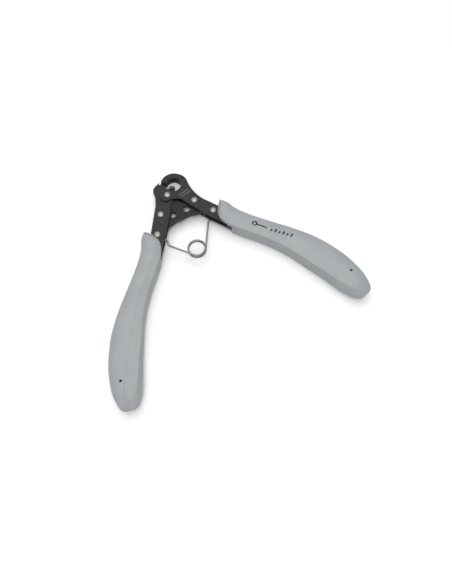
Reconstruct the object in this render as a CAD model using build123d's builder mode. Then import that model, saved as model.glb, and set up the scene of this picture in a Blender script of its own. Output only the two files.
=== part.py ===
"""Wire looping pliers: laminated steel head, overmoulded grips and a torsion return spring.

The pliers lie flat, jaws towards +Y and grips towards -Y, opened as the spring leaves them.
The two grips mirror each other in the plane x = 0. Heights inside the head are measured from
the mid-plane of the plate stack, which is also the mid-plane of the grips.
"""

import os
from math import atan2, cos, degrees, hypot, radians, sin

from build123d import *

os.makedirs("parts", exist_ok=True)

# ---- Driving dimensions, mm and degrees ----
GRIP_THICK = 12.6  # the pliers rest on the undersides of the grips
MID_Z = GRIP_THICK / 2

# Head. Points are (x, y) with y counted from the level of the pivot.
PIVOT = (-2.1, 0.0)
RING = (4.2, 4.7)  # centre of the hook ring
RING_OUT = 7.95
RING_IN = 4.6
RING_SIDE = (5.46, 4.36)  # the ring swells towards the neck
RING_SIDE_R = 7.3
HOOK_TIP_ANGLE = 140.0  # where the ring's outer plates end, about its own centre
RING_CUT_TO = 190.0
HOOK_CORE_ANGLE = 145.0  # its core reaches further, to the stop pin
CHANNEL_IN = 2.7  # radii about the pivot between which the hook's mouth lets the mandrel pass
CHANNEL_OUT = 7.5
CORE_CHANNEL_IN = 0.5
CORE_CHANNEL_OUT = 7.0
CHANNEL_FROM = 12.0  # and the angles about the pivot
CHANNEL_TO = 134.0
JAW_SWEEP_R = 7.6  # the left jaw's finger and boss turn inside this radius about the pivot
LOBE = (-5.0, 5.2)  # centre of the rounded jaw that guides the wire
LOBE_R = 3.9
STOP_PIN = (-3.15, 9.1)  # on the rim of the lobe, where the open hook rests
STOP_PIN_R = 0.7
STOP_PIN_TOP = 1.9
TIP_RELIEF_R = 0.8  # cut in the lobe that bares the stop pin towards the hook's tip
MANDREL = (2.55, 3.25)
MANDREL_PIN_R = 0.75  # bends loops of 1.5 mm inside diameter
MANDREL_COLLAR_R = 1.35
MANDREL_TOP = 2.3
MANDREL_BOTTOM = -2.4
REAR_LOBE_R = 4.3  # of the right rear plate about the pivot
FRONT_LOBE = (-2.9, -0.1)  # of the right front plate, over the pivot
FRONT_LOBE_R = 4.0
CORE_LOBE_R = 3.0
JAW_NECK_R = 4.4  # of the left jaw's core round the pivot
JAW_RIVET_R = 2.9
JAW_SIDE = (-6.2, 1.4)
JAW_SIDE_R = 3.0
JAW_LOBE_R = 2.9
FINGER_R = 1.7
PIN_WALL = 0.4  # metal round the stop pin
WIRE_LEVEL = -0.5  # height at which the wire meets the mandrel
GUIDE_R = 0.5  # bore of the wire guide
GUIDE_MIDDLE = (-5.0, 5.6)
GUIDE_SETBACK = 0.6  # the bush starts this far inside the lobe's rim
GUIDE_BUSH_R = 0.85

# Arms. Along each arm, distances run from its rear rivet towards the butt of the grip.
REAR_RIVET = (18.2, -21.9)  # on the right arm, mirrored on the left
GRIP_HOLE = (69.2, -93.0)
FRONT_RIVET_ALONG = -13.4
FRONT_RIVET_OUT = 0.8
EDGE_IN = -4.5  # inner edge of the straps, from the line of the tang
EDGE_OUT = 3.8
STRAP_END = 22.0
# Right arm: points (along, out) on the outer edge of its neck and on its inner shoulder
NECK = [(-7.5, EDGE_OUT), (-16.7, 5.75), (-23.72, 10.24)]
SHOULDER = [(-20.9, -2.4), (-9.7, -3.9), (0, EDGE_IN)]
# Left arm: its nose, cut across ahead of the front rivet
NOSE = [(-20.2, -4.2), (-22.4, 5.2)]
NOSE_HEEL = (-10.0, -4.9)
NOSE_FLARE = (-1.0, EDGE_OUT)
NOSE_ROUND = 0.5
SPACER_FROM = -4.2
POCKET_FROM = -3.0  # pocket for the end of the spring, from the inner edge
POCKET_TO = 11.5
POCKET_OUT = -2.2
TANG_HALF = 3.0
TANG_TAIL = 3.0  # the tang runs this far past the grip hole

# Plate stack, heights from the mid-plane
FRONT_TOP = 2.6
FRONT_LOW = 1.6
CORE_LOW = 0.8
REAR_TOP = -1.6
REAR_LOW = -2.6
SLIP = 0.05  # running clearance between sliding faces

# Pins and rivets
PIVOT_SHAFT_R = 1.2
BUSH_R = 2.1
RIVET_SHAFT_R = 1.0
RIVET_HEAD_R = 1.8
RIVET_DOME = 0.55
FIT = 0.02  # radial clearance of a rivet in its own plates
RUN_FIT = 0.05  # radial clearance of the turning parts on the bush

# Web plate between the arms
WEB_REACH = 26.0
WEB_ARCH = (1.6, -58.8)  # centre of its arched rear edge
WEB_ARCH_R = 40.9
WEB_FROM = -113.0  # its two ends, as angles about the pivot
WEB_TO = -53.5
WEB_BOSS_R = 4.0
WEB_HOLE_R = 2.1
WEB_HOLE_X = 4.55
WEB_HOLE_Y = -13.0

# Return spring
WIRE = 1.05
COIL = (-1.05, -39.55)
COIL_R = 5.0
COIL_PITCH = 1.38  # leaves room for the turns that the closing arms wind up
LEFT_LEG = [(-14.95, -31.0), (-14.65, -27.1), (-16.7, -26.1)]  # bends and end of each leg
LEFT_LEG_BENDS = [1.2, 0.7]
LEFT_LEG_LEVEL = 0.9
RIGHT_LEG = [(12.8, -25.9), (15.4, -24.4)]
RIGHT_LEG_BENDS = [0.9]
RIGHT_LEG_LEVEL = -0.95
RIGHT_HEEL = (13.46, -24.78)  # where the right leg bears on its arm
BEAD = 0.1  # the bead that joins a leg to its half of the coil stands this proud of the wire
BEAD_TILT = (15, 25, 35)  # keeps the seam of the bead clear of both wires

# Grips
BUTT_Y = -108.3
GRIP_ROUND = 2.6
CAVITY_GAP = 0.05
WINDOW_END = 15.3
GRIP_HOLE_R = 0.7

LEFT = -1
RIGHT = 1

# The origin is under the middle of the whole tool, so the pivot's level is this far ahead of it
PIVOT_LEVEL = -(RING[1] + RING_OUT + BUTT_Y) / 2

TANG_RUN = hypot(GRIP_HOLE[0] - REAR_RIVET[0], GRIP_HOLE[1] - REAR_RIVET[1])
TANG_X = (GRIP_HOLE[0] - REAR_RIVET[0]) / TANG_RUN
TANG_Y = (GRIP_HOLE[1] - REAR_RIVET[1]) / TANG_RUN
TANG_END = TANG_RUN + TANG_TAIL


def level(height):
    """Work plane at a height above the mid-plane of the stack, its origin level with the pivot."""
    return Plane(origin=(0, PIVOT_LEVEL, MID_Z + height))


def on_arm(side, along, out):
    """Point of an arm: so far along its tang from the rear rivet, and so far out from the tang's line."""
    x = REAR_RIVET[0] + along * TANG_X - out * TANG_Y
    y = REAR_RIVET[1] + along * TANG_Y + out * TANG_X
    return (side * x, y)


def about(centre, radius, angle):
    """Point at a radius and an angle in degrees about a centre."""
    return (centre[0] + radius * cos(radians(angle)), centre[1] + radius * sin(radians(angle)))


def front_rivet(side):
    """Centre of the arm's front rivet."""
    return on_arm(side, FRONT_RIVET_ALONG, FRONT_RIVET_OUT)


def rear_rivet(side):
    """Centre of the arm's rear rivet."""
    return on_arm(side, 0, 0)


def disc(centre, radius, mode=Mode.ADD):
    """Circle at a point of the current sketch."""
    with Locations(centre):
        Circle(radius, mode=mode)


def sector(centre, radius, start, end, mode=Mode.ADD):
    """Pie slice between two angles about a centre."""
    with BuildLine() as outline:
        Line(centre, about(centre, radius, start))
        ThreePointArc(
            about(centre, radius, start),
            about(centre, radius, (start + end) / 2),
            about(centre, radius, end),
        )
        Line(about(centre, radius, end), centre)
    make_face(outline.edges(), mode=mode)


def strap(side, start, end, inner=EDGE_IN, outer=EDGE_OUT, mode=Mode.ADD):
    """Straight stretch of an arm between two distances from its rear rivet."""
    corners = [(start, inner), (end, inner), (end, outer), (start, outer)]
    with BuildLine() as outline:
        Polyline([on_arm(side, *corner) for corner in corners], close=True)
    make_face(outline.edges(), mode=mode)


def tang(side):
    """Tail of an arm's core inside the grip, rounded at its end."""
    strap(side, STRAP_END - 4, TANG_END - TANG_HALF, -TANG_HALF, TANG_HALF)
    disc(on_arm(side, TANG_END - TANG_HALF, 0), TANG_HALF)


def spring_pocket(side):
    """Recess in an arm's core where the end of the spring lies between the outer plates."""
    strap(side, POCKET_FROM, POCKET_TO, EDGE_IN - 1, POCKET_OUT, mode=Mode.SUBTRACT)


def hook_channel(inner, outer, tip_angle=HOOK_TIP_ANGLE):
    """Opening of the hook: the way of the mandrel past the tip, about the pivot."""
    sector(RING, RING_OUT + 2, tip_angle, RING_CUT_TO, mode=Mode.SUBTRACT)
    with BuildSketch(mode=Mode.PRIVATE) as way:
        sector(PIVOT, outer, CHANNEL_FROM, CHANNEL_TO)
        disc(PIVOT, inner, mode=Mode.SUBTRACT)
    add(way.sketch, mode=Mode.SUBTRACT)


def hook_plate(lobe_centre, lobe_r):
    """Outline of the right arm's plates: hook ring, pivot lobe, waisted neck and strap."""
    disc(RING, RING_OUT)
    disc(RING_SIDE, RING_SIDE_R)
    disc(lobe_centre, lobe_r)
    neck = [on_arm(RIGHT, *point) for point in NECK]
    shoulder = [on_arm(RIGHT, *point) for point in SHOULDER]
    under_pivot = (PIVOT[0], PIVOT[1] - lobe_r + 0.6)
    with BuildLine() as outline:
        ThreePointArc(neck)
        Polyline(neck[2], RING, under_pivot, *shoulder)
        Polyline(shoulder[2], on_arm(RIGHT, STRAP_END, EDGE_IN), on_arm(RIGHT, STRAP_END, EDGE_OUT), neck[0])
    make_face(outline.edges())


def rivet(centre, shaft_r, low, high, headed_below=True):
    """Domed rivet through the plates between two heights, flush below where a plate slides under it."""
    foot = level(low).from_local_coords((*centre, 0))
    length = high - low
    foot_z = -RIVET_DOME if headed_below else 0
    rim = (RIVET_HEAD_R, length)
    ball_r = (RIVET_HEAD_R**2 + RIVET_DOME**2) / (2 * RIVET_DOME)
    side_x = RIVET_HEAD_R / 2
    side_z = (ball_r**2 - side_x**2) ** 0.5 - ball_r + RIVET_DOME
    with BuildSketch(Plane(origin=foot, x_dir=(1, 0, 0), z_dir=(0, -1, 0))) as half:
        with BuildLine() as outline:
            Line((0, foot_z), (0, length + RIVET_DOME))
            ThreePointArc((0, length + RIVET_DOME), (side_x, length + side_z), rim)
            Polyline(rim, (shaft_r, length), (shaft_r, 0))
            if headed_below:
                Line((shaft_r, 0), (RIVET_HEAD_R, 0))
                ThreePointArc((RIVET_HEAD_R, 0), (side_x, -side_z), (0, foot_z))
            else:
                Line((shaft_r, 0), (0, 0))
        make_face(outline.edges())
    revolve(half.sketch, axis=Axis(foot, (0, 0, 1)))


# ---- Left arm: the fixed side, with the wire guide and the mandrel ----
def rivet_holes(rivets):
    """Holes of the current layer for these rivets."""
    for centre in rivets:
        disc(centre, RIVET_SHAFT_R + FIT, mode=Mode.SUBTRACT)


def left_outer_plate(rivets):
    """Straight strap of the left arm, cut across ahead of its front rivet."""
    corners = [NOSE[0], NOSE_HEEL, (STRAP_END, EDGE_IN), (STRAP_END, EDGE_OUT), NOSE_FLARE, NOSE[1]]
    with BuildLine() as outline:
        FilletPolyline([on_arm(LEFT, *corner) for corner in corners], radius=NOSE_ROUND, close=True)
    make_face(outline.edges())
    rivet_holes(rivets)


with BuildPart() as left_front_plate:
    with BuildSketch(level(FRONT_LOW)):
        left_outer_plate([front_rivet(LEFT), rear_rivet(LEFT)])
    extrude(amount=FRONT_TOP - FRONT_LOW)

with BuildPart() as left_rear_plate:
    with BuildSketch(level(REAR_LOW)):
        left_outer_plate([rear_rivet(LEFT)])
    extrude(amount=REAR_TOP - REAR_LOW)

# The guided wire runs through the lobe and past the far side of the mandrel
GUIDE_AIM = (MANDREL[0], MANDREL[1] + MANDREL_PIN_R + GUIDE_R)
GUIDE_ANGLE = degrees(atan2(GUIDE_MIDDLE[1] - GUIDE_AIM[1], GUIDE_MIDDLE[0] - GUIDE_AIM[0]))
GUIDE_MOUTH = about(GUIDE_MIDDLE, LOBE_R + 1, GUIDE_ANGLE)
GUIDE_DIR = (cos(radians(GUIDE_ANGLE)), sin(radians(GUIDE_ANGLE)), 0)
GUIDE_PLANE = Plane(
    origin=level(WIRE_LEVEL).from_local_coords((*GUIDE_MOUTH, 0)),
    z_dir=(-GUIDE_DIR[0], -GUIDE_DIR[1], 0),
)

with BuildPart() as mandrel_jaw:
    with BuildSketch(level(CORE_LOW)):
        with BuildSketch(mode=Mode.PRIVATE) as neck_hull:
            disc(PIVOT, JAW_NECK_R)
            disc(JAW_SIDE, JAW_SIDE_R)
            disc(front_rivet(LEFT), JAW_RIVET_R)
            make_hull()
        add(neck_hull.sketch)
        with BuildSketch(mode=Mode.PRIVATE) as lobe_hull:
            disc(PIVOT, JAW_LOBE_R)
            disc(LOBE, LOBE_R)
            disc(STOP_PIN, STOP_PIN_R + PIN_WALL)
            make_hull()
            disc(about(RING, RING_OUT, HOOK_CORE_ANGLE), TIP_RELIEF_R, mode=Mode.SUBTRACT)
        add(lobe_hull.sketch)
        with BuildSketch(mode=Mode.PRIVATE) as finger_hull:
            disc(PIVOT, FINGER_R)
            disc(MANDREL, FINGER_R)
            make_hull()
        add(finger_hull.sketch)
        strap(LEFT, FRONT_RIVET_ALONG, STRAP_END)
        tang(LEFT)
        spring_pocket(LEFT)
        disc(PIVOT, BUSH_R + RUN_FIT, mode=Mode.SUBTRACT)
        disc(MANDREL, MANDREL_PIN_R + FIT, mode=Mode.SUBTRACT)
        rivet_holes([front_rivet(LEFT), rear_rivet(LEFT)])
    extrude(amount=FRONT_LOW - CORE_LOW)
    with BuildSketch(level(REAR_LOW)):
        disc(LOBE, LOBE_R)
        disc(STOP_PIN, STOP_PIN_R + PIN_WALL)
        disc(about(RING, RING_OUT, HOOK_CORE_ANGLE), TIP_RELIEF_R, mode=Mode.SUBTRACT)
        disc(PIVOT, REAR_LOBE_R + 0.3, mode=Mode.SUBTRACT)
    extrude(amount=CORE_LOW - REAR_LOW)
    with BuildSketch(level(REAR_TOP)):
        disc(STOP_PIN, STOP_PIN_R + FIT)
    extrude(amount=FRONT_TOP - REAR_TOP, mode=Mode.SUBTRACT)
    with BuildSketch(GUIDE_PLANE):
        Circle(GUIDE_BUSH_R + FIT)
    extrude(amount=2 * LOBE_R + 2, mode=Mode.SUBTRACT)

with BuildPart() as wire_guide_bush:
    with BuildSketch(GUIDE_PLANE.offset(GUIDE_SETBACK)):
        Circle(GUIDE_BUSH_R)
        Circle(GUIDE_R, mode=Mode.SUBTRACT)
    extrude(amount=2 * LOBE_R)

with BuildPart() as stop_pin:
    with BuildSketch(level(REAR_TOP)):
        disc(STOP_PIN, STOP_PIN_R)
    extrude(amount=STOP_PIN_TOP - REAR_TOP)
    chamfer(stop_pin.faces().sort_by(Axis.Z)[-1].edges(), 0.2)

with BuildPart() as mandrel_pin:
    with BuildSketch(level(MANDREL_BOTTOM)):
        disc(MANDREL, MANDREL_PIN_R)
    extrude(amount=MANDREL_TOP - MANDREL_BOTTOM)
    with BuildSketch(level(FRONT_LOW)):
        disc(MANDREL, MANDREL_COLLAR_R)
    extrude(amount=MANDREL_TOP - FRONT_LOW)
    chamfer(mandrel_pin.faces().sort_by(Axis.Z)[-1].edges(), 0.2)
    chamfer(mandrel_pin.faces().sort_by(Axis.Z)[0].edges(), 0.2)

with BuildPart() as left_spacer:
    with BuildSketch(level(REAR_TOP)):
        strap(LEFT, SPACER_FROM, STRAP_END)
        tang(LEFT)
        spring_pocket(LEFT)
        rivet_holes([rear_rivet(LEFT)])
    extrude(amount=CORE_LOW - REAR_TOP)

with BuildPart() as left_front_rivet:
    rivet(front_rivet(LEFT), RIVET_SHAFT_R, CORE_LOW, FRONT_TOP, headed_below=False)

with BuildPart() as left_rear_rivet:
    rivet(rear_rivet(LEFT), RIVET_SHAFT_R, REAR_LOW, FRONT_TOP)

# ---- Right arm: the hook that turns on the pivot and wipes the wire round the mandrel ----
RIGHT_FRONT_LOW = FRONT_LOW + SLIP  # the front plate slides over the mandrel jaw
RIGHT_FRONT_TOP = FRONT_TOP + SLIP


def hook_holes(rivets):
    """Ring hole, pivot hole and rivet holes of one layer of the right arm."""
    disc(RING, RING_IN, mode=Mode.SUBTRACT)
    disc(PIVOT, PIVOT_SHAFT_R + FIT, mode=Mode.SUBTRACT)
    rivet_holes(rivets)


with BuildPart() as right_front_plate:
    with BuildSketch(level(RIGHT_FRONT_LOW)):
        hook_plate(FRONT_LOBE, FRONT_LOBE_R)
        hook_channel(CHANNEL_IN, CHANNEL_OUT)
        hook_holes([front_rivet(RIGHT), rear_rivet(RIGHT)])
    extrude(amount=FRONT_TOP - FRONT_LOW)

with BuildPart() as right_rear_plate:
    with BuildSketch(level(REAR_LOW)):
        hook_plate(PIVOT, REAR_LOBE_R)
        hook_channel(CHANNEL_IN, CHANNEL_OUT)
        hook_holes([rear_rivet(RIGHT)])
    extrude(amount=REAR_TOP - REAR_LOW)

with BuildPart() as hook_jaw:
    with BuildSketch(level(CORE_LOW)):
        hook_plate(PIVOT, CORE_LOBE_R)
        tang(RIGHT)
        spring_pocket(RIGHT)
        hook_channel(CORE_CHANNEL_IN, CORE_CHANNEL_OUT, HOOK_CORE_ANGLE)
        disc(PIVOT, JAW_SWEEP_R, mode=Mode.SUBTRACT)
        hook_holes([front_rivet(RIGHT), rear_rivet(RIGHT)])
    extrude(amount=RIGHT_FRONT_LOW - CORE_LOW)
    with BuildSketch(level(REAR_TOP)):
        disc(RING, RING_OUT)
        disc(RING_SIDE, RING_SIDE_R)
        hook_channel(CORE_CHANNEL_IN, CORE_CHANNEL_OUT, HOOK_CORE_ANGLE)
        disc(PIVOT, JAW_SWEEP_R, mode=Mode.SUBTRACT)
        disc(RING, RING_IN, mode=Mode.SUBTRACT)
    extrude(amount=CORE_LOW - REAR_TOP)

with BuildPart() as right_spacer:
    with BuildSketch(level(REAR_TOP)):
        strap(RIGHT, SPACER_FROM, STRAP_END)
        tang(RIGHT)
        spring_pocket(RIGHT)
        rivet_holes([rear_rivet(RIGHT)])
    extrude(amount=CORE_LOW - REAR_TOP)

with BuildPart() as right_front_rivet:
    rivet(front_rivet(RIGHT), RIVET_SHAFT_R, CORE_LOW, RIGHT_FRONT_TOP, headed_below=False)

with BuildPart() as right_rear_rivet:
    rivet(rear_rivet(RIGHT), RIVET_SHAFT_R, REAR_LOW, RIGHT_FRONT_TOP)

with BuildPart() as pivot_rivet:
    rivet(PIVOT, PIVOT_SHAFT_R, REAR_LOW, RIGHT_FRONT_TOP)

with BuildPart() as pivot_bush:
    with BuildSketch(level(REAR_TOP)):
        disc(PIVOT, BUSH_R)
        disc(PIVOT, PIVOT_SHAFT_R + FIT, mode=Mode.SUBTRACT)
    extrude(amount=RIGHT_FRONT_LOW - REAR_TOP)

# ---- Web plate: floats on the pivot and closes the throat between the two arms ----
with BuildPart() as web_plate:
    with BuildSketch(level(REAR_TOP + SLIP)):
        sector(PIVOT, WEB_REACH, WEB_FROM, WEB_TO)
        disc(WEB_ARCH, WEB_ARCH_R, mode=Mode.SUBTRACT)
        disc(PIVOT, WEB_BOSS_R)
        disc((WEB_HOLE_X, WEB_HOLE_Y), WEB_HOLE_R, mode=Mode.SUBTRACT)
        disc((-WEB_HOLE_X, WEB_HOLE_Y), WEB_HOLE_R, mode=Mode.SUBTRACT)
        disc(PIVOT, BUSH_R + RUN_FIT, mode=Mode.SUBTRACT)
    extrude(amount=CORE_LOW - REAR_TOP - 2 * SLIP)

# ---- Return spring, in two halves that meet at the middle of the coil's height ----
def tangent_angle(point, side):
    """Angle about the coil's centre where a leg from this point touches it."""
    bearing = degrees(atan2(point[1] - COIL[1], point[0] - COIL[0]))
    reach = hypot(point[0] - COIL[0], point[1] - COIL[1])
    return bearing - side * degrees(atan2((reach**2 - COIL_R**2) ** 0.5, COIL_R))


LEFT_TOUCH = tangent_angle(LEFT_LEG[0], LEFT)
RIGHT_TOUCH = tangent_angle(RIGHT_HEEL, RIGHT)
COIL_SWEEP = 720 + (RIGHT_TOUCH - LEFT_TOUCH) % 360
HALF_RISE = COIL_PITCH * COIL_SWEEP / 720


def round_wire(path):
    """Round wire along a path of lines and arcs."""
    with BuildSketch(Plane(origin=path @ 0, z_dir=path % 0)) as section:
        Circle(WIRE / 2)
    sweep(section.sketch, path=path, is_frenet=True)


def half_coil(start_angle, height):
    """Half of the coil's turns, rising clockwise from a start angle and a height."""
    start = level(height)
    axes = Plane(
        origin=start.from_local_coords((*COIL, 0)),
        x_dir=(cos(radians(start_angle)), sin(radians(start_angle)), 0),
        z_dir=(0, 0, 1),
    )
    round_wire(Wire([axes.location * Edge.make_helix(COIL_PITCH, HALF_RISE, COIL_R, lefthand=True)]))


def leg(touch_angle, touch_height, bends, height, radii):
    """Leg of the spring from its end of the coil through its bends, and the bead that joins the two."""
    touch = level(touch_height).from_local_coords((*about(COIL, COIL_R, touch_angle), 0))
    corners = [level(height).from_local_coords((*bend, 0)) for bend in bends]
    start = touch + (corners[0] - touch).normalized() * BEAD
    with BuildLine() as route:
        FilletPolyline(start, *corners, radius=radii)
    round_wire(route.wire())
    with Locations(touch):
        Sphere(WIRE / 2 + BEAD, rotation=BEAD_TILT)


with BuildPart() as spring_left_half:
    half_coil(RIGHT_TOUCH - COIL_SWEEP / 2, 0)
    leg(LEFT_TOUCH, HALF_RISE, LEFT_LEG, LEFT_LEG_LEVEL, LEFT_LEG_BENDS)

with BuildPart() as spring_right_half:
    half_coil(RIGHT_TOUCH, -HALF_RISE)
    leg(RIGHT_TOUCH, -HALF_RISE, RIGHT_LEG, RIGHT_LEG_LEVEL, RIGHT_LEG_BENDS)


# ---- Grips ----
def grip_outline(side):
    """Plan outline of a grip: rounded collar, bowed back, round butt and hollow inner side."""
    outer = [(25.4, -16.8), (29.4, -24.2), (38.0, -36.0), (56.4, -55.5), (70.0, -75.5), (76.2, -96.0)]
    butt = [(76.2, -96.0), (75.4, -104.0), (70.8, BUTT_Y), (63.8, -105.4), (60.3, -99.0)]
    inner = [(60.3, -99.0), (52.0, -79.5), (37.5, -54.5), (30.0, -45.5), (21.0, -35.5)]
    collar = [(21.0, -35.5), (18.9, -30.4), (18.6, -26.5), (21.7, -20.2), (25.4, -16.8)]
    with BuildLine() as outline:
        for stretch in (outer, butt, inner, collar):
            Spline([(side * x, y) for x, y in stretch])
    make_face(outline.edges())


def carve_cavity(side):
    """Room for the strap and the tang inside a grip, with the window on the inner side."""
    strap_gap = FRONT_TOP + SLIP + CAVITY_GAP
    tang_gap = FRONT_LOW + SLIP + CAVITY_GAP
    with BuildSketch(level(-strap_gap)) as strap_room:
        strap(side, -12, STRAP_END + CAVITY_GAP, EDGE_IN - CAVITY_GAP, EDGE_OUT + CAVITY_GAP)
    extrude(strap_room.sketch, amount=2 * strap_gap, mode=Mode.SUBTRACT)
    with BuildSketch(level(-MID_Z)) as window:
        strap(side, -12, WINDOW_END, EDGE_IN - 12, EDGE_IN)
    extrude(window.sketch, amount=MID_Z + strap_gap, mode=Mode.SUBTRACT)
    with BuildSketch(level(-tang_gap)) as tang_room:
        tail = TANG_HALF + CAVITY_GAP
        strap(side, STRAP_END - 2, TANG_END - TANG_HALF, -tail, tail)
        disc(on_arm(side, TANG_END - TANG_HALF, 0), tail)
    extrude(tang_room.sketch, amount=2 * tang_gap, mode=Mode.SUBTRACT)
    with BuildSketch(level(-MID_Z)) as pin_hole:
        disc(on_arm(side, TANG_RUN, 0), GRIP_HOLE_R)
    extrude(pin_hole.sketch, amount=GRIP_THICK, mode=Mode.SUBTRACT)


with BuildPart() as right_grip:
    with BuildSketch(level(-MID_Z)):
        grip_outline(RIGHT)
    extrude(amount=GRIP_THICK)
    fillet(right_grip.faces().filter_by(Axis.Z).edges(), GRIP_ROUND)
    carve_cavity(RIGHT)

with BuildPart() as left_grip:
    with BuildSketch(level(-MID_Z)):
        grip_outline(LEFT)
    extrude(amount=GRIP_THICK)
    fillet(left_grip.faces().filter_by(Axis.Z).edges(), GRIP_ROUND)
    carve_cavity(LEFT)

for name, part in {
    "left_front_plate": left_front_plate,
    "left_rear_plate": left_rear_plate,
    "mandrel_jaw": mandrel_jaw,
    "left_spacer": left_spacer,
    "left_front_rivet": left_front_rivet,
    "left_rear_rivet": left_rear_rivet,
    "wire_guide_bush": wire_guide_bush,
    "mandrel_pin": mandrel_pin,
    "stop_pin": stop_pin,
    "right_front_plate": right_front_plate,
    "right_rear_plate": right_rear_plate,
    "hook_jaw": hook_jaw,
    "right_spacer": right_spacer,
    "right_front_rivet": right_front_rivet,
    "right_rear_rivet": right_rear_rivet,
    "pivot_rivet": pivot_rivet,
    "pivot_bush": pivot_bush,
    "web_plate": web_plate,
    "spring_left_half": spring_left_half,
    "spring_right_half": spring_right_half,
    "left_grip": left_grip,
    "right_grip": right_grip,
}.items():
    part.part.label = name
    export_step(part.part, f"parts/{name}.step")
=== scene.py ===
"""Looks of the wire looping pliers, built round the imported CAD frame.

Lengths are in millimetres until they are handed to Blender, which works in metres. Points inside
the head and the grips are (x, y) counted from the level of the pivot, with heights from the
mid-plane of the plate stack, as in the design of the part.
"""

from math import atan2, ceil, cos, degrees, hypot, pi, radians, sin

import bmesh
import bpy
from mathutils import Matrix, Vector
from mathutils.bvhtree import BVHTree


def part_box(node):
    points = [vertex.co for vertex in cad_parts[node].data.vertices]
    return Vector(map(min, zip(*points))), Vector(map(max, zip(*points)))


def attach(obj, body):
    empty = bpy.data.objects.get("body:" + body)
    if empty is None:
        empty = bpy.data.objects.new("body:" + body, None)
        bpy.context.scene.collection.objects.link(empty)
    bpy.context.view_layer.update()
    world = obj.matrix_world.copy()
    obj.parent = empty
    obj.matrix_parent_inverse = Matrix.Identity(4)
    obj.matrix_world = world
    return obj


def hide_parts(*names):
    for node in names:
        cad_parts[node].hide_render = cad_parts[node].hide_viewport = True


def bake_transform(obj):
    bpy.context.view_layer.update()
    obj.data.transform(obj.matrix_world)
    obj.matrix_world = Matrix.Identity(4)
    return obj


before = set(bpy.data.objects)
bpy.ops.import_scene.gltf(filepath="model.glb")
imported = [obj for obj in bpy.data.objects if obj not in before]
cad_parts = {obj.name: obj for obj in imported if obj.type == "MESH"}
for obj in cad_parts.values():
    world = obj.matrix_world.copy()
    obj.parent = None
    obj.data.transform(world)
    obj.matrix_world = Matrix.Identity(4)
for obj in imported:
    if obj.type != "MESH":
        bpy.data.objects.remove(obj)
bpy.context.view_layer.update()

MM = 0.001

# ---- Places taken from the frame ----
pivot_low, pivot_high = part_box("pivot_rivet")
PIVOT_Y_ROW = (pivot_low.y + pivot_high.y) / 2 / MM
grip_low, grip_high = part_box("right_grip")
MID_Z = (grip_low.z + grip_high.z) / 2 / MM
HALF_THICK = (grip_high.z - grip_low.z) / 2 / MM

# ---- Driving dimensions, as in the design ----
REAR_RIVET = (18.2, -21.9)
GRIP_HOLE = (69.2, -93.0)
EDGE_IN = -4.5  # inner and outer edge of the straps, from the line of the tang
EDGE_OUT = 3.8
STRAP_HALF = 2.65  # half the height of the stack of plates, with its clearances
WINDOW_END = 15.3
WIRE_R = 0.525
COIL = (-1.05, -39.55)
COIL_R = 5.0
COIL_PITCH = 1.3
LEFT_LEG = [(-14.95, -31.0), (-14.65, -27.1), (-16.7, -26.1)]
LEFT_LEG_BENDS = [1.2, 0.7]
LEFT_LEG_LEVEL = 0.9
RIGHT_LEG = [(12.8, -25.9), (15.4, -24.4)]
RIGHT_LEG_BENDS = [0.9]
RIGHT_LEG_LEVEL = -0.95
RIGHT_HEEL = (13.46, -24.78)

LEFT = -1
RIGHT = 1

TANG_RUN = hypot(GRIP_HOLE[0] - REAR_RIVET[0], GRIP_HOLE[1] - REAR_RIVET[1])
TANG_X = (GRIP_HOLE[0] - REAR_RIVET[0]) / TANG_RUN
TANG_Y = (GRIP_HOLE[1] - REAR_RIVET[1]) / TANG_RUN


def at(x, y, height=0.0):
    """Point of the head or grips, in metres in the row frame."""
    return Vector((x, PIVOT_Y_ROW + y, MID_Z + height)) * MM


def on_arm(side, along, out, height=0.0):
    """Point of an arm: so far along its tang from the rear rivet, and so far out from its line."""
    x = REAR_RIVET[0] + along * TANG_X - out * TANG_Y
    y = REAR_RIVET[1] + along * TANG_Y + out * TANG_X
    return at(side * x, y, height)


# ---- Camera, lights and stage ----
VIEW_TARGET = Vector((2.005, -23.55, 6.3)) * MM
VIEW_DISTANCE = 276.1 * MM
VIEW_AZIMUTH = radians(-25.48)
VIEW_ELEVATION = radians(68.9)
VIEW_ROLL = radians(1.029)
LENS = 30.31
SENSOR = 36
FLOOR_HALF = 3.0  # metres


def make_camera():
    """Camera that looks down on the pliers from the butt end, a little to the left."""
    forward = Vector((
        -sin(VIEW_AZIMUTH) * cos(VIEW_ELEVATION),
        cos(VIEW_AZIMUTH) * cos(VIEW_ELEVATION),
        -sin(VIEW_ELEVATION),
    ))
    level_right = forward.cross(Vector((0, 0, 1))).normalized()
    level_up = level_right.cross(forward)
    right = cos(VIEW_ROLL) * level_right - sin(VIEW_ROLL) * level_up
    up = sin(VIEW_ROLL) * level_right + cos(VIEW_ROLL) * level_up
    data = bpy.data.cameras.new("camera")
    data.lens = LENS
    data.sensor_width = SENSOR
    data.clip_start = 0.01
    data.clip_end = 20
    camera = bpy.data.objects.new("camera", data)
    turn = Matrix((right, up, -forward)).transposed()
    camera.matrix_world = Matrix.Translation(VIEW_TARGET - VIEW_DISTANCE * forward) @ turn.to_4x4()
    bpy.context.scene.collection.objects.link(camera)
    bpy.context.scene.camera = camera


def area_light(name, place, size, power):
    """Square area light that faces the pliers."""
    data = bpy.data.lights.new(name, "AREA")
    data.size = size
    data.energy = power
    light = bpy.data.objects.new(name, data)
    light.location = place
    light.rotation_euler = (VIEW_TARGET - Vector(place)).to_track_quat("-Z", "Y").to_euler()
    bpy.context.scene.collection.objects.link(light)


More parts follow.
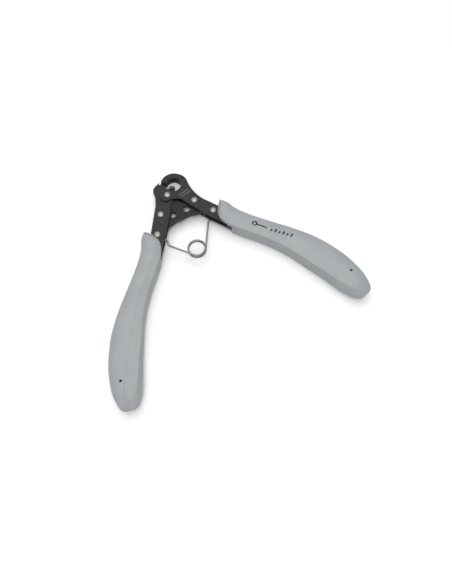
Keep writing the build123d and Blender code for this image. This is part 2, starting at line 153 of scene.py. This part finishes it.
def make_stage():
    """White floor, white surroundings and soft studio lights from behind the head."""
    world = bpy.data.worlds.new("studio")
    world.use_nodes = True
    background = world.node_tree.nodes["Background"]
    background.inputs["Color"].default_value = (0.97, 0.985, 1.0, 1)
    background.inputs["Strength"].default_value = 0.42
    bpy.context.scene.world = world
    area_light("key", (0.04, 0.3, 0.9), 0.9, 5.6)
    area_light("fill", (-0.12, -0.25, 0.75), 0.3, 2.3)

    mesh = bpy.data.meshes.new("floor")
    corners = [(x * FLOOR_HALF, y * FLOOR_HALF, 0) for x, y in ((-1, -1), (1, -1), (1, 1), (-1, 1))]
    mesh.from_pydata(corners, [], [(0, 1, 2, 3)])
    floor = bpy.data.objects.new("floor", mesh)
    bpy.context.scene.collection.objects.link(floor)
    floor.data.materials.append(make_material("floor_white", (0.92, 0.93, 0.92), 0.9))
    bpy.context.scene.view_settings.view_transform = "Standard"


# ---- Materials ----
def make_material(name, colour, roughness, metallic=0.0):
    """Plain principled material; the finishes below add their nodes to it."""
    material = bpy.data.materials.new(name)
    material.use_nodes = True
    shader = material.node_tree.nodes["Principled BSDF"]
    shader.inputs["Base Color"].default_value = (*colour, 1)
    shader.inputs["Roughness"].default_value = roughness
    shader.inputs["Metallic"].default_value = metallic
    return material


def noise(material, scale, detail=3.0, stretch=(1, 1, 1)):
    """Noise over the piece in its own space; scale is in cells per metre."""
    nodes, links = material.node_tree.nodes, material.node_tree.links
    place = nodes.new("ShaderNodeTexCoord")
    mapping = nodes.new("ShaderNodeMapping")
    mapping.inputs["Scale"].default_value = stretch
    texture = nodes.new("ShaderNodeTexNoise")
    texture.inputs["Scale"].default_value = scale
    texture.inputs["Detail"].default_value = detail
    links.new(place.outputs["Object"], mapping.inputs["Vector"])
    links.new(mapping.outputs["Vector"], texture.inputs["Vector"])
    return texture.outputs["Fac"]


def ramp(material, factor, low, high, start=0.3, stop=0.7):
    """Colour ramp between two colours, or two grey values, driven by a factor."""
    node = material.node_tree.nodes.new("ShaderNodeValToRGB")
    material.node_tree.links.new(factor, node.inputs["Fac"])
    for element, value, position in zip(node.color_ramp.elements, (low, high), (start, stop)):
        element.color = (*value, 1) if isinstance(value, tuple) else (value, value, value, 1)
        element.position = position
    return node.outputs["Color"]


def bump(material, height, depth, strength=1.0):
    """Bump of the surface; depth is the height of a full step of the texture, in metres."""
    node = material.node_tree.nodes.new("ShaderNodeBump")
    node.inputs["Distance"].default_value = depth
    node.inputs["Strength"].default_value = strength
    material.node_tree.links.new(height, node.inputs["Height"])
    shader = material.node_tree.nodes["Principled BSDF"]
    material.node_tree.links.new(node.outputs["Normal"], shader.inputs["Normal"])


def connect(material, output, socket):
    """Drives a socket of the shader by a texture."""
    shader = material.node_tree.nodes["Principled BSDF"]
    material.node_tree.links.new(output, shader.inputs[socket])


def grip_rubber():
    """Matt grey soft-touch overmoulding with a fine satin grain."""
    material = make_material("grip_rubber", (0.31, 0.32, 0.33), 0.55)
    clouds = noise(material, 90, 4)
    connect(material, ramp(material, clouds, (0.292, 0.305, 0.314), (0.328, 0.338, 0.343)), "Base Color")
    connect(material, ramp(material, noise(material, 700, 5), 0.46, 0.6), "Roughness")
    bump(material, noise(material, 5200, 2), 0.00003, 0.35)
    return material


def black_steel(name="black_oxide", dark=(0.011, 0.0095, 0.013), light=(0.021, 0.0185, 0.0235)):
    """Black-oxide plate: purplish black, faintly mottled, with fine rolling lines."""
    material = make_material(name, light, 0.5)
    shader = material.node_tree.nodes["Principled BSDF"]
    shader.inputs["Specular IOR Level"].default_value = 0.3
    mottle = noise(material, 420, 5)
    connect(material, ramp(material, mottle, dark, light), "Base Color")
    connect(material, ramp(material, noise(material, 1500, 4), 0.42, 0.6), "Roughness")
    bump(material, noise(material, 2600, 3, (1, 0.25, 1)), 0.00002, 0.3)
    return material


def edge_wear_and_highlight():
    """Lighter edge of the plates: partly rubbed through the oxide to bare steel, partly a painted highlight
    that stands in for the glint along the edges.
    """
    material = make_material("edge_wear_and_highlight", (0.2, 0.2, 0.2), 0.38, 0.7)
    patches = ramp(material, noise(material, 900, 5), (0.03, 0.03, 0.033), (0.2, 0.2, 0.195), 0.45, 0.8)
    connect(material, patches, "Base Color")
    return material


def bright_metal(name, colour, roughness, scratches):
    """Plated or drawn bright metal with fine scratches."""
    material = make_material(name, colour, roughness, 1.0)
    fine = noise(material, scratches, 6, (1, 0.2, 1))
    connect(material, ramp(material, fine, max(roughness - 0.1, 0.05), roughness + 0.12), "Roughness")
    bump(material, noise(material, scratches * 2, 3), 0.00001, 0.25)
    return material


# ---- Mesh helpers ----
CURVE_STEPS = 24  # points of a smooth curve between two given ones


def new_piece(name, mesh, material, body=None):
    """Object for a finished mesh, with its material and body."""
    piece = bpy.data.objects.new(name, mesh)
    bpy.context.scene.collection.objects.link(piece)
    mesh.materials.append(material)
    if body:
        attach(piece, body)
    return piece


def mesh_from(name, points, faces):
    """Mesh with outward faces."""
    mesh = bpy.data.meshes.new(name)
    mesh.from_pydata([tuple(p) for p in points], [], faces)
    clean = bmesh.new()
    clean.from_mesh(mesh)
    bmesh.ops.recalc_face_normals(clean, faces=clean.faces)
    clean.to_mesh(mesh)
    clean.free()
    return mesh


def bar_mesh(name, first, second):
    """Closed bar between two end faces whose corners match."""
    count = len(first)
    faces = [(i, (i + 1) % count, count + (i + 1) % count, count + i) for i in range(count)]
    faces += [tuple(range(count)), tuple(range(count, 2 * count))]
    return mesh_from(name, first + second, faces)


def smooth_shade(mesh, angle):
    """Smooth shading that keeps edges sharper than an angle in degrees."""
    mesh.polygons.foreach_set("use_smooth", [True] * len(mesh.polygons))
    mesh.set_sharp_from_angle(angle=radians(angle))
    return mesh


def baked(name, mesh, modifiers):
    """Result of a stack of modifiers on a mesh, as a new mesh."""
    holder = bpy.data.objects.new(name + "_work", mesh)
    bpy.context.scene.collection.objects.link(holder)
    for kind, settings in modifiers:
        modifier = holder.modifiers.new(kind, kind)
        for key, value in settings.items():
            setattr(modifier, key, value)
    bpy.context.view_layer.update()
    graph = bpy.context.evaluated_depsgraph_get()
    result = bpy.data.meshes.new_from_object(holder.evaluated_get(graph))
    result.name = name
    bpy.data.objects.remove(holder)
    return result


def through_points(points):
    """Close points along a smooth curve through the given ones."""
    padded = [2 * points[0] - points[1], *points, 2 * points[-1] - points[-2]]
    fine = []
    for i in range(1, len(padded) - 2):
        a, b, c, d = padded[i - 1:i + 3]
        for k in range(CURVE_STEPS):
            t = k / CURVE_STEPS
            fine.append(0.5 * (
                2 * b + (c - a) * t + (2 * a - 5 * b + 4 * c - d) * t**2 + (3 * b - a - 3 * c + d) * t**3
            ))
    fine.append(points[-1])
    return fine


def by_length(line, share):
    """Point of a polyline at a share of its length."""
    runs = [(q - p).length for p, q in zip(line, line[1:])]
    goal = share * sum(runs)
    for p, q, run in zip(line, line[1:], runs):
        if goal <= run and run > 0:
            return p.lerp(q, goal / run)
        goal -= run
    return line[-1].copy()


def steps_between(table, share):
    """Value at a share, eased between the rows (share, value) of a short table."""
    for (share_before, before), (share_after, after) in zip(table, table[1:]):
        if share <= share_after:
            t = max(0.0, (share - share_before) / (share_after - share_before))
            return before + (after - before) * t * t * (3 - 2 * t)
    return table[-1][1]


# ---- Grips ----
# Plan outline, on its outer and its inner side, from the collar to the butt
GRIP_OUTER = [
    (25.2, -16.7), (28.4, -21.0), (29.9, -25.0), (32.8, -29.6), (38.0, -36.0), (47.0, -45.6),
    (56.4, -55.5), (64.5, -65.8), (70.0, -75.5), (73.8, -84.5), (76.2, -94.5), (76.4, -100.5),
    (75.3, -105.9), (72.0, -108.3),
]
GRIP_INNER = [
    (18.6, -26.9), (19.25, -30.85), (21.3, -35.4), (24.3, -39.65), (29.65, -45.7), (37.4, -54.6),
    (45.0, -65.7), (52.0, -79.6), (57.7, -92.6), (60.2, -98.7), (63.1, -104.1), (66.8, -107.9),
    (72.0, -108.3),
]
# Share of the grip's length and, there, a distance in from the inner outline
SHOULDER_IN = [(0.0, 0.55), (0.6, 0.5), (0.78, 1.5), (0.9, 3.2), (1.0, 2.2)]
RIDGE_IN = [
    (0.0, 3.4), (0.25, 3.7), (0.45, 4.4), (0.6, 5.6), (0.72, 7.4), (0.84, 8.4), (0.93, 7.0), (1.0, 4.0),
]
# Share of the grip's length and, there, the height of its top as a share of half its thickness
TOP = [
    (0.0, 0.93), (0.06, 0.97), (0.14, 0.94), (0.35, 0.97), (0.6, 1.0), (0.87, 0.985), (0.93, 0.93),
    (1.0, 0.62),
]
# Section of the grip at full height: a bulging inner wall, a shoulder, a ridge, a crown and a round back
WALL = [(0.0, 0.0), (0.07, 1.6), (0.45, 3.4), (0.8, 4.45)]  # share of the way to the shoulder, height
SHOULDER_Z = 4.8
SLOPE_SHARE = 0.38  # of the step from shoulder to ridge, a third of the way across
RIDGE_Z = 5.82
CROWN_SIDE_Z = 6.18
CROWN_Z = 6.3
BACK_FROM = 6.2
BACK = [  # distance in from the outer outline, height
    (BACK_FROM, 6.16), (3.4, 5.72), (1.45, 4.7), (0.42, 2.9), (0.1, 1.3), (0.0, 0.0),
]
NARROWEST = 0.2  # a section narrower than its ridge, its back and this much is squeezed
CREASES = {4: 0.75, 6: 0.35}  # corners of the section that stay crisp: the shoulder and the ridge
# Stations are distances along a grip of this nominal length
GRIP_LENGTH = 100.0
LIP_ROUND = [(0.0, 0.5), (0.1, 0.1), (0.3, 0.0)]  # station, sunk this much more than the lip
LIP_BOW = 0.3  # the front edge of the collar bows ahead by this much
LIP_BOW_END = 0.09  # and the bow has died away at this share of the length
LIP_SINK = 0.18  # the lip ahead of the groove stands this much lower than the collar
GROOVE_AT = 1.15
GROOVE_HALF = 0.3
GROOVE_FLOOR_HALF = 0.1
GROOVE_DEEP = 0.85
COLLAR_STATIONS = [1.8, 2.6, 3.6, 4.8]
BODY_FROM = 6.0
BODY_STEP = 2.35
BODY_COUNT = 37
BUTT_FROM = 94.0
BUTT_COUNT = 5
FACET_Y = -101.2  # the butt slopes down from here to its end
FACET_TOP = 0.15  # below the grip's highest point
FACET_SLOPE = 0.66
FACET_LOW = 1.8  # half the height that is left at the end
# Cutters
CUT_PAST = 1.0  # cutters reach this far past the surfaces they cut
WINDOW_FROM = -13  # well ahead of the collar
WINDOW_REACH = 7
UNDERCUT = 3.5  # the window reaches this far under the strap
ROOM = 0.06  # air left round the strap inside the grip
ROOM_PAST = 0.4  # the air goes this far past the end of the window
GRIP_HOLE_R = 0.78
HOLE_SIDES = 28
GRIP_SHARP = 38


def grip_section(width, share, sink):
    """Upper half of a section: (distance from the inner outline, height) across to the outer one."""
    ridge = steps_between(RIDGE_IN, share)
    squeeze = min(1.0, width / (ridge + BACK_FROM + NARROWEST))
    ridge *= squeeze
    shoulder = steps_between(SHOULDER_IN, share) * squeeze
    crown = (ridge + width - BACK_FROM * squeeze) / 2
    section = [(part * shoulder, height) for part, height in WALL]
    section += [
        (shoulder, SHOULDER_Z),
        ((shoulder * 2 + ridge) / 3, SHOULDER_Z + (RIDGE_Z - SHOULDER_Z) * SLOPE_SHARE),
        (ridge, RIDGE_Z),
        ((ridge + crown) / 2, CROWN_SIDE_Z),
        (crown, CROWN_Z),
    ]
    section += [(width - distance * squeeze, height) for distance, height in BACK]
    top = steps_between(TOP, share) * HALF_THICK / CROWN_Z * (1 - sink / CROWN_Z)
    middle = width / 2
    narrow = 1 - sink / middle
    return [(middle + (distance - middle) * narrow, height * top) for distance, height in section]


def grip_stations():
    """Shares of the length where sections stand, with how far each is sunk below the full section."""
    rows = [(distance, LIP_SINK + more) for distance, more in LIP_ROUND]
    rows += [
        (GROOVE_AT - GROOVE_HALF, LIP_SINK), (GROOVE_AT - GROOVE_FLOOR_HALF, GROOVE_DEEP),
        (GROOVE_AT + GROOVE_FLOOR_HALF, GROOVE_DEEP), (GROOVE_AT + GROOVE_HALF, 0.0),
    ]
    rows += [(distance, 0.0) for distance in COLLAR_STATIONS]
    rows += [(BODY_FROM + BODY_STEP * i, 0.0) for i in range(BODY_COUNT)]
    rows += [(BUTT_FROM + i, 0.0) for i in range(BUTT_COUNT)]
    return [(distance / GRIP_LENGTH, sink) for distance, sink in rows]


def end_faces(base, count):
    """Strips that close an end of the loft, whose corners start at base."""
    faces = []
    for i in range((count + 2) // 2 - 1):
        quad = [base + i, base + i + 1, base + (count - i - 1) % count, base + (count - i) % count]
        corners = list(dict.fromkeys(quad))
        if len(corners) > 2:
            faces.append(tuple(corners))
    return faces


def grip_ring(side, inner, outer, share, sink):
    """Corners of the section at a share of the length, between points of the inner and outer outlines."""
    width = (outer - inner).length
    across = (outer - inner) / width
    ahead = Vector((-across.y, across.x))
    bow = LIP_BOW * max(0.0, 1 - share / LIP_BOW_END)
    upper = grip_section(width, share, sink)
    lower = [(distance, -height) for distance, height in upper[-2:0:-1]]
    ring = []
    for distance, height in upper + lower:
        t = distance / width
        plan = inner + across * distance + ahead * (bow * 4 * t * (1 - t))
        limit = max(FACET_LOW, HALF_THICK - FACET_TOP - FACET_SLOPE * (FACET_Y - plan.y))
        ring.append(at(side * plan.x, plan.y, max(-limit, min(limit, height))))
    return ring


def grip_mesh(side):
    """Closed mesh of one grip: sections lofted from the collar to the butt, with crisp shoulder and ridge."""
    outer = through_points([Vector(corner) for corner in GRIP_OUTER])
    inner = through_points([Vector(corner) for corner in GRIP_INNER])
    rings = [
        grip_ring(side, by_length(inner, share), by_length(outer, share), share, sink)
        for share, sink in grip_stations()
    ]
    count = len(rings[0])
    faces = []
    for r in range(len(rings) - 1):
        for i in range(count):
            j = (i + 1) % count
            faces.append((r * count + i, r * count + j, (r + 1) * count + j, (r + 1) * count + i))
    faces += end_faces(0, count)
    faces += end_faces((len(rings) - 1) * count, count)
    mesh = mesh_from("grip", [corner for ring in rings for corner in ring], faces)
    crease = mesh.attributes.new("crease_edge", "FLOAT", "EDGE")
    for edge in mesh.edges:
        a, b = edge.vertices
        if abs(a - b) == count:
            corner = min(a % count, count - a % count)
            crease.data[edge.index].value = CREASES.get(corner, 0.0)
    return mesh


def window_mesh(side):
    """Bar along the inner side of an arm: it bares the strap's edge and undercuts the strap to the floor."""
    far = EDGE_IN - WINDOW_REACH
    floor = -HALF_THICK - CUT_PAST
    section = [
        (far, floor), (EDGE_IN + UNDERCUT, floor), (EDGE_IN + UNDERCUT, -STRAP_HALF),
        (EDGE_IN, -STRAP_HALF), (EDGE_IN, STRAP_HALF), (far, STRAP_HALF),
    ]
    stretch = (WINDOW_FROM, WINDOW_END)
    ends = [[on_arm(side, along, out, height) for out, height in section] for along in stretch]
    return bar_mesh("cutter", *ends)


def room_mesh(side):
    """Bar a little larger than the strap, so that its edge and the spring's pocket stand in air."""
    inner, outer, high = EDGE_IN - ROOM, EDGE_OUT + ROOM, STRAP_HALF + ROOM
    section = [(inner, -high), (outer, -high), (outer, high), (inner, high)]
    stretch = (WINDOW_FROM, WINDOW_END + ROOM_PAST)
    ends = [[on_arm(side, along, out, height) for out, height in section] for along in stretch]
    return bar_mesh("cutter", *ends)


def hole_mesh(side):
    """Round bar for the small hole near the butt."""
    ends = []
    for height in (-HALF_THICK - CUT_PAST, HALF_THICK + CUT_PAST):
        centre = at(side * GRIP_HOLE[0], GRIP_HOLE[1], height)
        angles = [2 * pi * i / HOLE_SIDES for i in range(HOLE_SIDES)]
        ends.append([centre + GRIP_HOLE_R * MM * Vector((cos(angle), sin(angle), 0)) for angle in angles])
    return bar_mesh("cutter", *ends)


def cutter(mesh):
    """Object that a boolean modifier cuts with; removed once the cut is baked."""
    tool = bpy.data.objects.new("cutter", mesh)
    bpy.context.scene.collection.objects.link(tool)
    return tool


def make_grip(side, name, body, node, material):
    """One overmoulded grip with its window over the arm and its hole."""
    tools = [cutter(window_mesh(side)), cutter(room_mesh(side)), cutter(hole_mesh(side))]
    mesh = baked(name, grip_mesh(side), [("SUBSURF", {"levels": 2, "render_levels": 2})])
    cuts = [{"operation": "DIFFERENCE", "solver": "EXACT", "object": tool} for tool in tools]
    mesh = baked(name, mesh, [("BOOLEAN", cut) for cut in cuts])
    for tool in tools:
        bpy.data.objects.remove(tool)
    grip = new_piece(name, smooth_shade(mesh, GRIP_SHARP), material, body)
    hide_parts(node)
    return grip


# ---- Marks, placed as (along, out) on the right arm ----
INK_PROUD = 0.03
INK_DEEP = 0.05
PRINT_RING = (26.6, 1.5)
PRINT_RING_RADII = (0.8, 1.7)
PRINT_STEM = [(28.1, 1.65), (34.2, 2.1)]
PRINT_STEM_WIDTH = 0.85
STROKE_COUNT = 6
STROKE_FROM = (37.0, 1.25)
STROKE_STEP = (2.35, 0.4)
STROKE_LEAN = 0.25
STROKE_HEIGHTS = (1.5, 2.3)  # in turn
STROKE_WIDTH = 1.05
ETCH_ROWS = 2
ETCH_ROW_STEP = (1.7, -0.5)
ETCH_COUNT = 6
ETCH_FROM = (-23.0, -0.6)
ETCH_STEP = (0.5, 1.08)
ETCH_LEAN = 0.33
ETCH_HEIGHTS = (0.72, 0.57)  # in turn
ETCH_WIDTH = 0.42
RING_STEPS = 40
BAR_STEPS = 8


def ring_band(centre, radii):
    """Closed band of pairs of points between two radii round a centre."""
    rows = []
    for k in range(RING_STEPS):
        angle = 2 * pi * k / RING_STEPS
        rows.append([(centre[0] + radius * cos(angle), centre[1] + radius * sin(angle)) for radius in radii])
    return rows, True


def bar_band(start, end, width):
    """Straight band of pairs of points between two points."""
    run = hypot(end[0] - start[0], end[1] - start[1])
    side = ((start[1] - end[1]) / run * width / 2, (end[0] - start[0]) / run * width / 2)
    rows = []
    for k in range(BAR_STEPS + 1):
        along, out = (start[i] + (end[i] - start[i]) * k / BAR_STEPS for i in (0, 1))
        rows.append([(along - side[0], out - side[1]), (along + side[0], out + side[1])])
    return rows, False


def mark_mesh(name, bands, height_at):
    """Thin closed bands on the right arm; height_at gives the surface under a point of it."""
    points, faces = [], []
    for rows, closed in bands:
        base = len(points)
        for first, second in rows:
            section = [(first, -INK_DEEP), (first, INK_PROUD), (second, INK_PROUD), (second, -INK_DEEP)]
            for place, lift in section:
                spot = on_arm(RIGHT, *place)
                points.append(Vector((spot.x, spot.y, height_at(spot) + lift * MM)))
        count = len(rows)
        for r in range(count if closed else count - 1):
            here, ahead = base + 4 * r, base + 4 * ((r + 1) % count)
            faces += [(here + i, here + (i + 1) % 4, ahead + (i + 1) % 4, ahead + i) for i in range(4)]
        if not closed:
            faces.append(tuple(range(base, base + 4)))
            faces.append(tuple(range(base + 4 * (count - 1), base + 4 * count)))
    return mesh_from(name, points, faces)


def print_material():
    """Black pad-printing ink, slightly worn."""
    material = make_material("print_ink", (0.012, 0.012, 0.014), 0.55)
    wear = ramp(material, noise(material, 1800, 4), (0.01, 0.01, 0.012), (0.05, 0.052, 0.055), 0.5, 0.85)
    connect(material, wear, "Base Color")
    return material


def etch_material():
    """Laser-etched steel, bare and frosted through the oxide."""
    material = make_material("etched_steel", (0.2, 0.2, 0.205), 0.6, 0.4)
    frost = ramp(material, noise(material, 2500, 4), (0.14, 0.14, 0.145), (0.34, 0.34, 0.345))
    connect(material, frost, "Base Color")
    return material


def print_bands():
    """Ring-and-stem sign with a row of strokes of two heights."""
    bands = [ring_band(PRINT_RING, PRINT_RING_RADII), bar_band(*PRINT_STEM, PRINT_STEM_WIDTH)]
    for i in range(STROKE_COUNT):
        along, out = (STROKE_FROM[k] + STROKE_STEP[k] * i for k in (0, 1))
        end = (along + STROKE_LEAN, out + STROKE_HEIGHTS[i % 2])
        bands.append(bar_band((along, out), end, STROKE_WIDTH))
    return bands


def etch_bands():
    """Two broken lines of short dashes."""
    bands = []
    for row in range(ETCH_ROWS):
        for i in range(ETCH_COUNT):
            along, out = (ETCH_FROM[k] + ETCH_ROW_STEP[k] * row + ETCH_STEP[k] * i for k in (0, 1))
            end = (along + ETCH_LEAN, out + ETCH_HEIGHTS[i % 2])
            bands.append(bar_band((along, out), end, ETCH_WIDTH))
    return bands


def make_marks(grip):
    """Generic print on the right grip and generic etching on the right plate."""
    surface = BVHTree.FromObject(grip, bpy.context.evaluated_depsgraph_get())
    plate_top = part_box("right_front_plate")[1].z

    def grip_top(spot):
        return surface.ray_cast(Vector((spot.x, spot.y, 1.0)), Vector((0, 0, -1)))[0].z

    marks = mark_mesh("right_grip_print", print_bands(), grip_top)
    new_piece("right_grip_print", marks, print_material(), "right_arm")
    marks = mark_mesh("right_plate_etching", etch_bands(), lambda spot: plate_top)
    new_piece("right_plate_etching", marks, etch_material(), "right_arm")


# ---- Return spring ----
WIRE_SIDES = 20
WIRE_END_SHARES = (0.25, 0.65)  # how far round towards the tip the rings of a wire's end stand
WIRE_SHARP = 50
CORNER_STEPS = 10
COIL_STEP = 4  # degrees


def tube(name, line):
    """Spring wire along a line of points, with rounded ends."""
    radius = WIRE_R * MM
    stations = []
    normal = (line[1] - line[0]).orthogonal()
    for i, point in enumerate(line):
        ahead = (line[min(i + 1, len(line) - 1)] - line[max(i - 1, 0)]).normalized()
        normal = (normal - ahead * normal.dot(ahead)).normalized()
        stations.append((point, normal, ahead.cross(normal), ahead))

    def end_ring(station, way, share):
        point, normal, side, ahead = station
        return point + ahead * (way * radius * share / 2), normal, side, radius * (1 - share**2) ** 0.5

    rings = [end_ring(stations[0], -1, share) for share in reversed(WIRE_END_SHARES)]
    rings += [(point, normal, side, radius) for point, normal, side, _ in stations]
    rings += [end_ring(stations[-1], 1, share) for share in WIRE_END_SHARES]
    points = []
    for centre, normal, side, reach in rings:
        for k in range(WIRE_SIDES):
            angle = 2 * pi * k / WIRE_SIDES
            points.append(centre + (normal * cos(angle) + side * sin(angle)) * reach)
    faces = []
    for base in range(0, len(points) - WIRE_SIDES, WIRE_SIDES):
        for k in range(WIRE_SIDES):
            m = (k + 1) % WIRE_SIDES
            faces.append((base + k, base + m, base + WIRE_SIDES + m, base + WIRE_SIDES + k))
    faces.append(tuple(range(WIRE_SIDES)))
    faces.append(tuple(range(len(points) - WIRE_SIDES, len(points))))
    return smooth_shade(mesh_from(name, points, faces), WIRE_SHARP)


def rounded(points, radii):
    """Polyline with its inner corners turned into arcs."""
    line = [points[0]]
    for before, corner, after, bend in zip(points, points[1:], points[2:], radii):
        radius = bend * MM
        u, v = (before - corner).normalized(), (after - corner).normalized()
        half = u.angle(v) / 2
        reach = radius / sin(half) * cos(half)
        centre = corner + (u + v).normalized() * (radius / sin(half))
        start = (corner + u * reach - centre).normalized()
        end = (corner + v * reach - centre).normalized()
        for k in range(CORNER_STEPS + 1):
            line.append(centre + start.slerp(end, k / CORNER_STEPS) * radius)
    line.append(points[-1])
    return line


def tangent_angle(point, side):
    """Angle about the coil's centre where a leg from this point touches it, in degrees."""
    bearing = degrees(atan2(point[1] - COIL[1], point[0] - COIL[0]))
    reach = hypot(point[0] - COIL[0], point[1] - COIL[1])
    return bearing - side * degrees(atan2((reach**2 - COIL_R**2) ** 0.5, COIL_R))


LEFT_TOUCH = tangent_angle(LEFT_LEG[0], LEFT)
RIGHT_TOUCH = tangent_angle(RIGHT_HEEL, RIGHT)
COIL_SWEEP = 720 + (RIGHT_TOUCH - LEFT_TOUCH) % 360
HALF_RISE = COIL_PITCH * COIL_SWEEP / 720


def coil_point(angle, height):
    """Point on the centre line of the coil."""
    return at(COIL[0] + COIL_R * cos(radians(angle)), COIL[1] + COIL_R * sin(radians(angle)), height)


def make_leg(name, side, touch, rise, leg, level, bends, material):
    """Leg of the spring, from where it touches the coil to its end in the arm."""
    corners = [coil_point(touch, rise)] + [at(x, y, level) for x, y in leg]
    return new_piece(name, tube(name, rounded(corners, bends)), material, side)


def make_spring(material):
    """Torsion spring: a leg on each arm, and the coil that winds up between them."""
    left_leg = make_leg("spring_left_leg", "spring_left", LEFT_TOUCH, HALF_RISE,
                        LEFT_LEG, LEFT_LEG_LEVEL, LEFT_LEG_BENDS, material)
    right_leg = make_leg("spring_right_leg", "spring_right", RIGHT_TOUCH, -HALF_RISE,
                         RIGHT_LEG, RIGHT_LEG_LEVEL, RIGHT_LEG_BENDS, material)
    steps = ceil(COIL_SWEEP / COIL_STEP)
    line = []
    for i in range(steps + 1):
        share = i / steps
        line.append(coil_point(LEFT_TOUCH + COIL_SWEEP * share, HALF_RISE * (1 - 2 * share)))
    coil = new_piece("spring_coil", tube("spring_coil", line), material)
    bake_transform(coil)
    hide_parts("spring_left_half")
    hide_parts("spring_right_half")


# ---- Finishes of the steel nodes ----
WELD = 0.002
EDGE_WIDTH = 0.12
EDGE_SEGMENTS = 3
EDGE_ANGLE = 40


def finish_node(name, material, edge=None):
    """Material of a CAD node and, where an edge finish is given, small rounded edges that show it."""
    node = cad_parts[name]
    node.data.materials.clear()
    node.data.materials.append(material)
    weld = node.modifiers.new("weld", "WELD")
    weld.merge_threshold = WELD * MM
    if edge:
        node.data.materials.append(edge)
        bevel = node.modifiers.new("edges", "BEVEL")
        bevel.width = EDGE_WIDTH * MM
        bevel.segments = EDGE_SEGMENTS
        bevel.limit_method = "ANGLE"
        bevel.angle_limit = radians(EDGE_ANGLE)
        bevel.material = 1


def finish_steel():
    """Finishes of every steel node."""
    black = black_steel()
    edge = edge_wear_and_highlight()
    # The web plate gets a darker copy of the oxide: painted shade for the recess it lies in, under the plates
    # and the pivot.
    web_painted_shade = black_steel("web_oxide_painted_shade", (0.004, 0.0035, 0.0035), (0.009, 0.008, 0.0075))
    nickel = bright_metal("rivet_nickel", (0.4, 0.385, 0.345), 0.55, 2500)
    hard = bright_metal("hardened_steel", (0.5, 0.5, 0.49), 0.3, 2500)
    dark = bright_metal("dark_hardened", (0.06, 0.055, 0.058), 0.42, 2500)
    for side in ("left", "right"):
        for part in ("front_plate", "rear_plate", "spacer"):
            finish_node(f"{side}_{part}", black, edge)
        for part in ("front_rivet", "rear_rivet"):
            finish_node(f"{side}_{part}", nickel)
    finish_node("mandrel_jaw", black, edge)
    finish_node("hook_jaw", black, edge)
    finish_node("web_plate", web_painted_shade, edge)
    finish_node("pivot_rivet", nickel)
    finish_node("mandrel_pin", dark)
    for name in ("stop_pin", "wire_guide_bush", "pivot_bush"):
        finish_node(name, hard)


make_camera()
make_stage()
finish_steel()
rubber = grip_rubber()
make_grip(LEFT, "left_grip_rubber", "left_arm", "left_grip", rubber)
right_grip = make_grip(RIGHT, "right_grip_rubber", "right_arm", "right_grip", rubber)
make_marks(right_grip)
# The wire's colour is its own brown-grey tone, kept darker than bright steel as painted shade that stands in
# for the dark surroundings it would reflect.
make_spring(bright_metal("spring_wire", (0.24, 0.225, 0.2), 0.34, 3000))
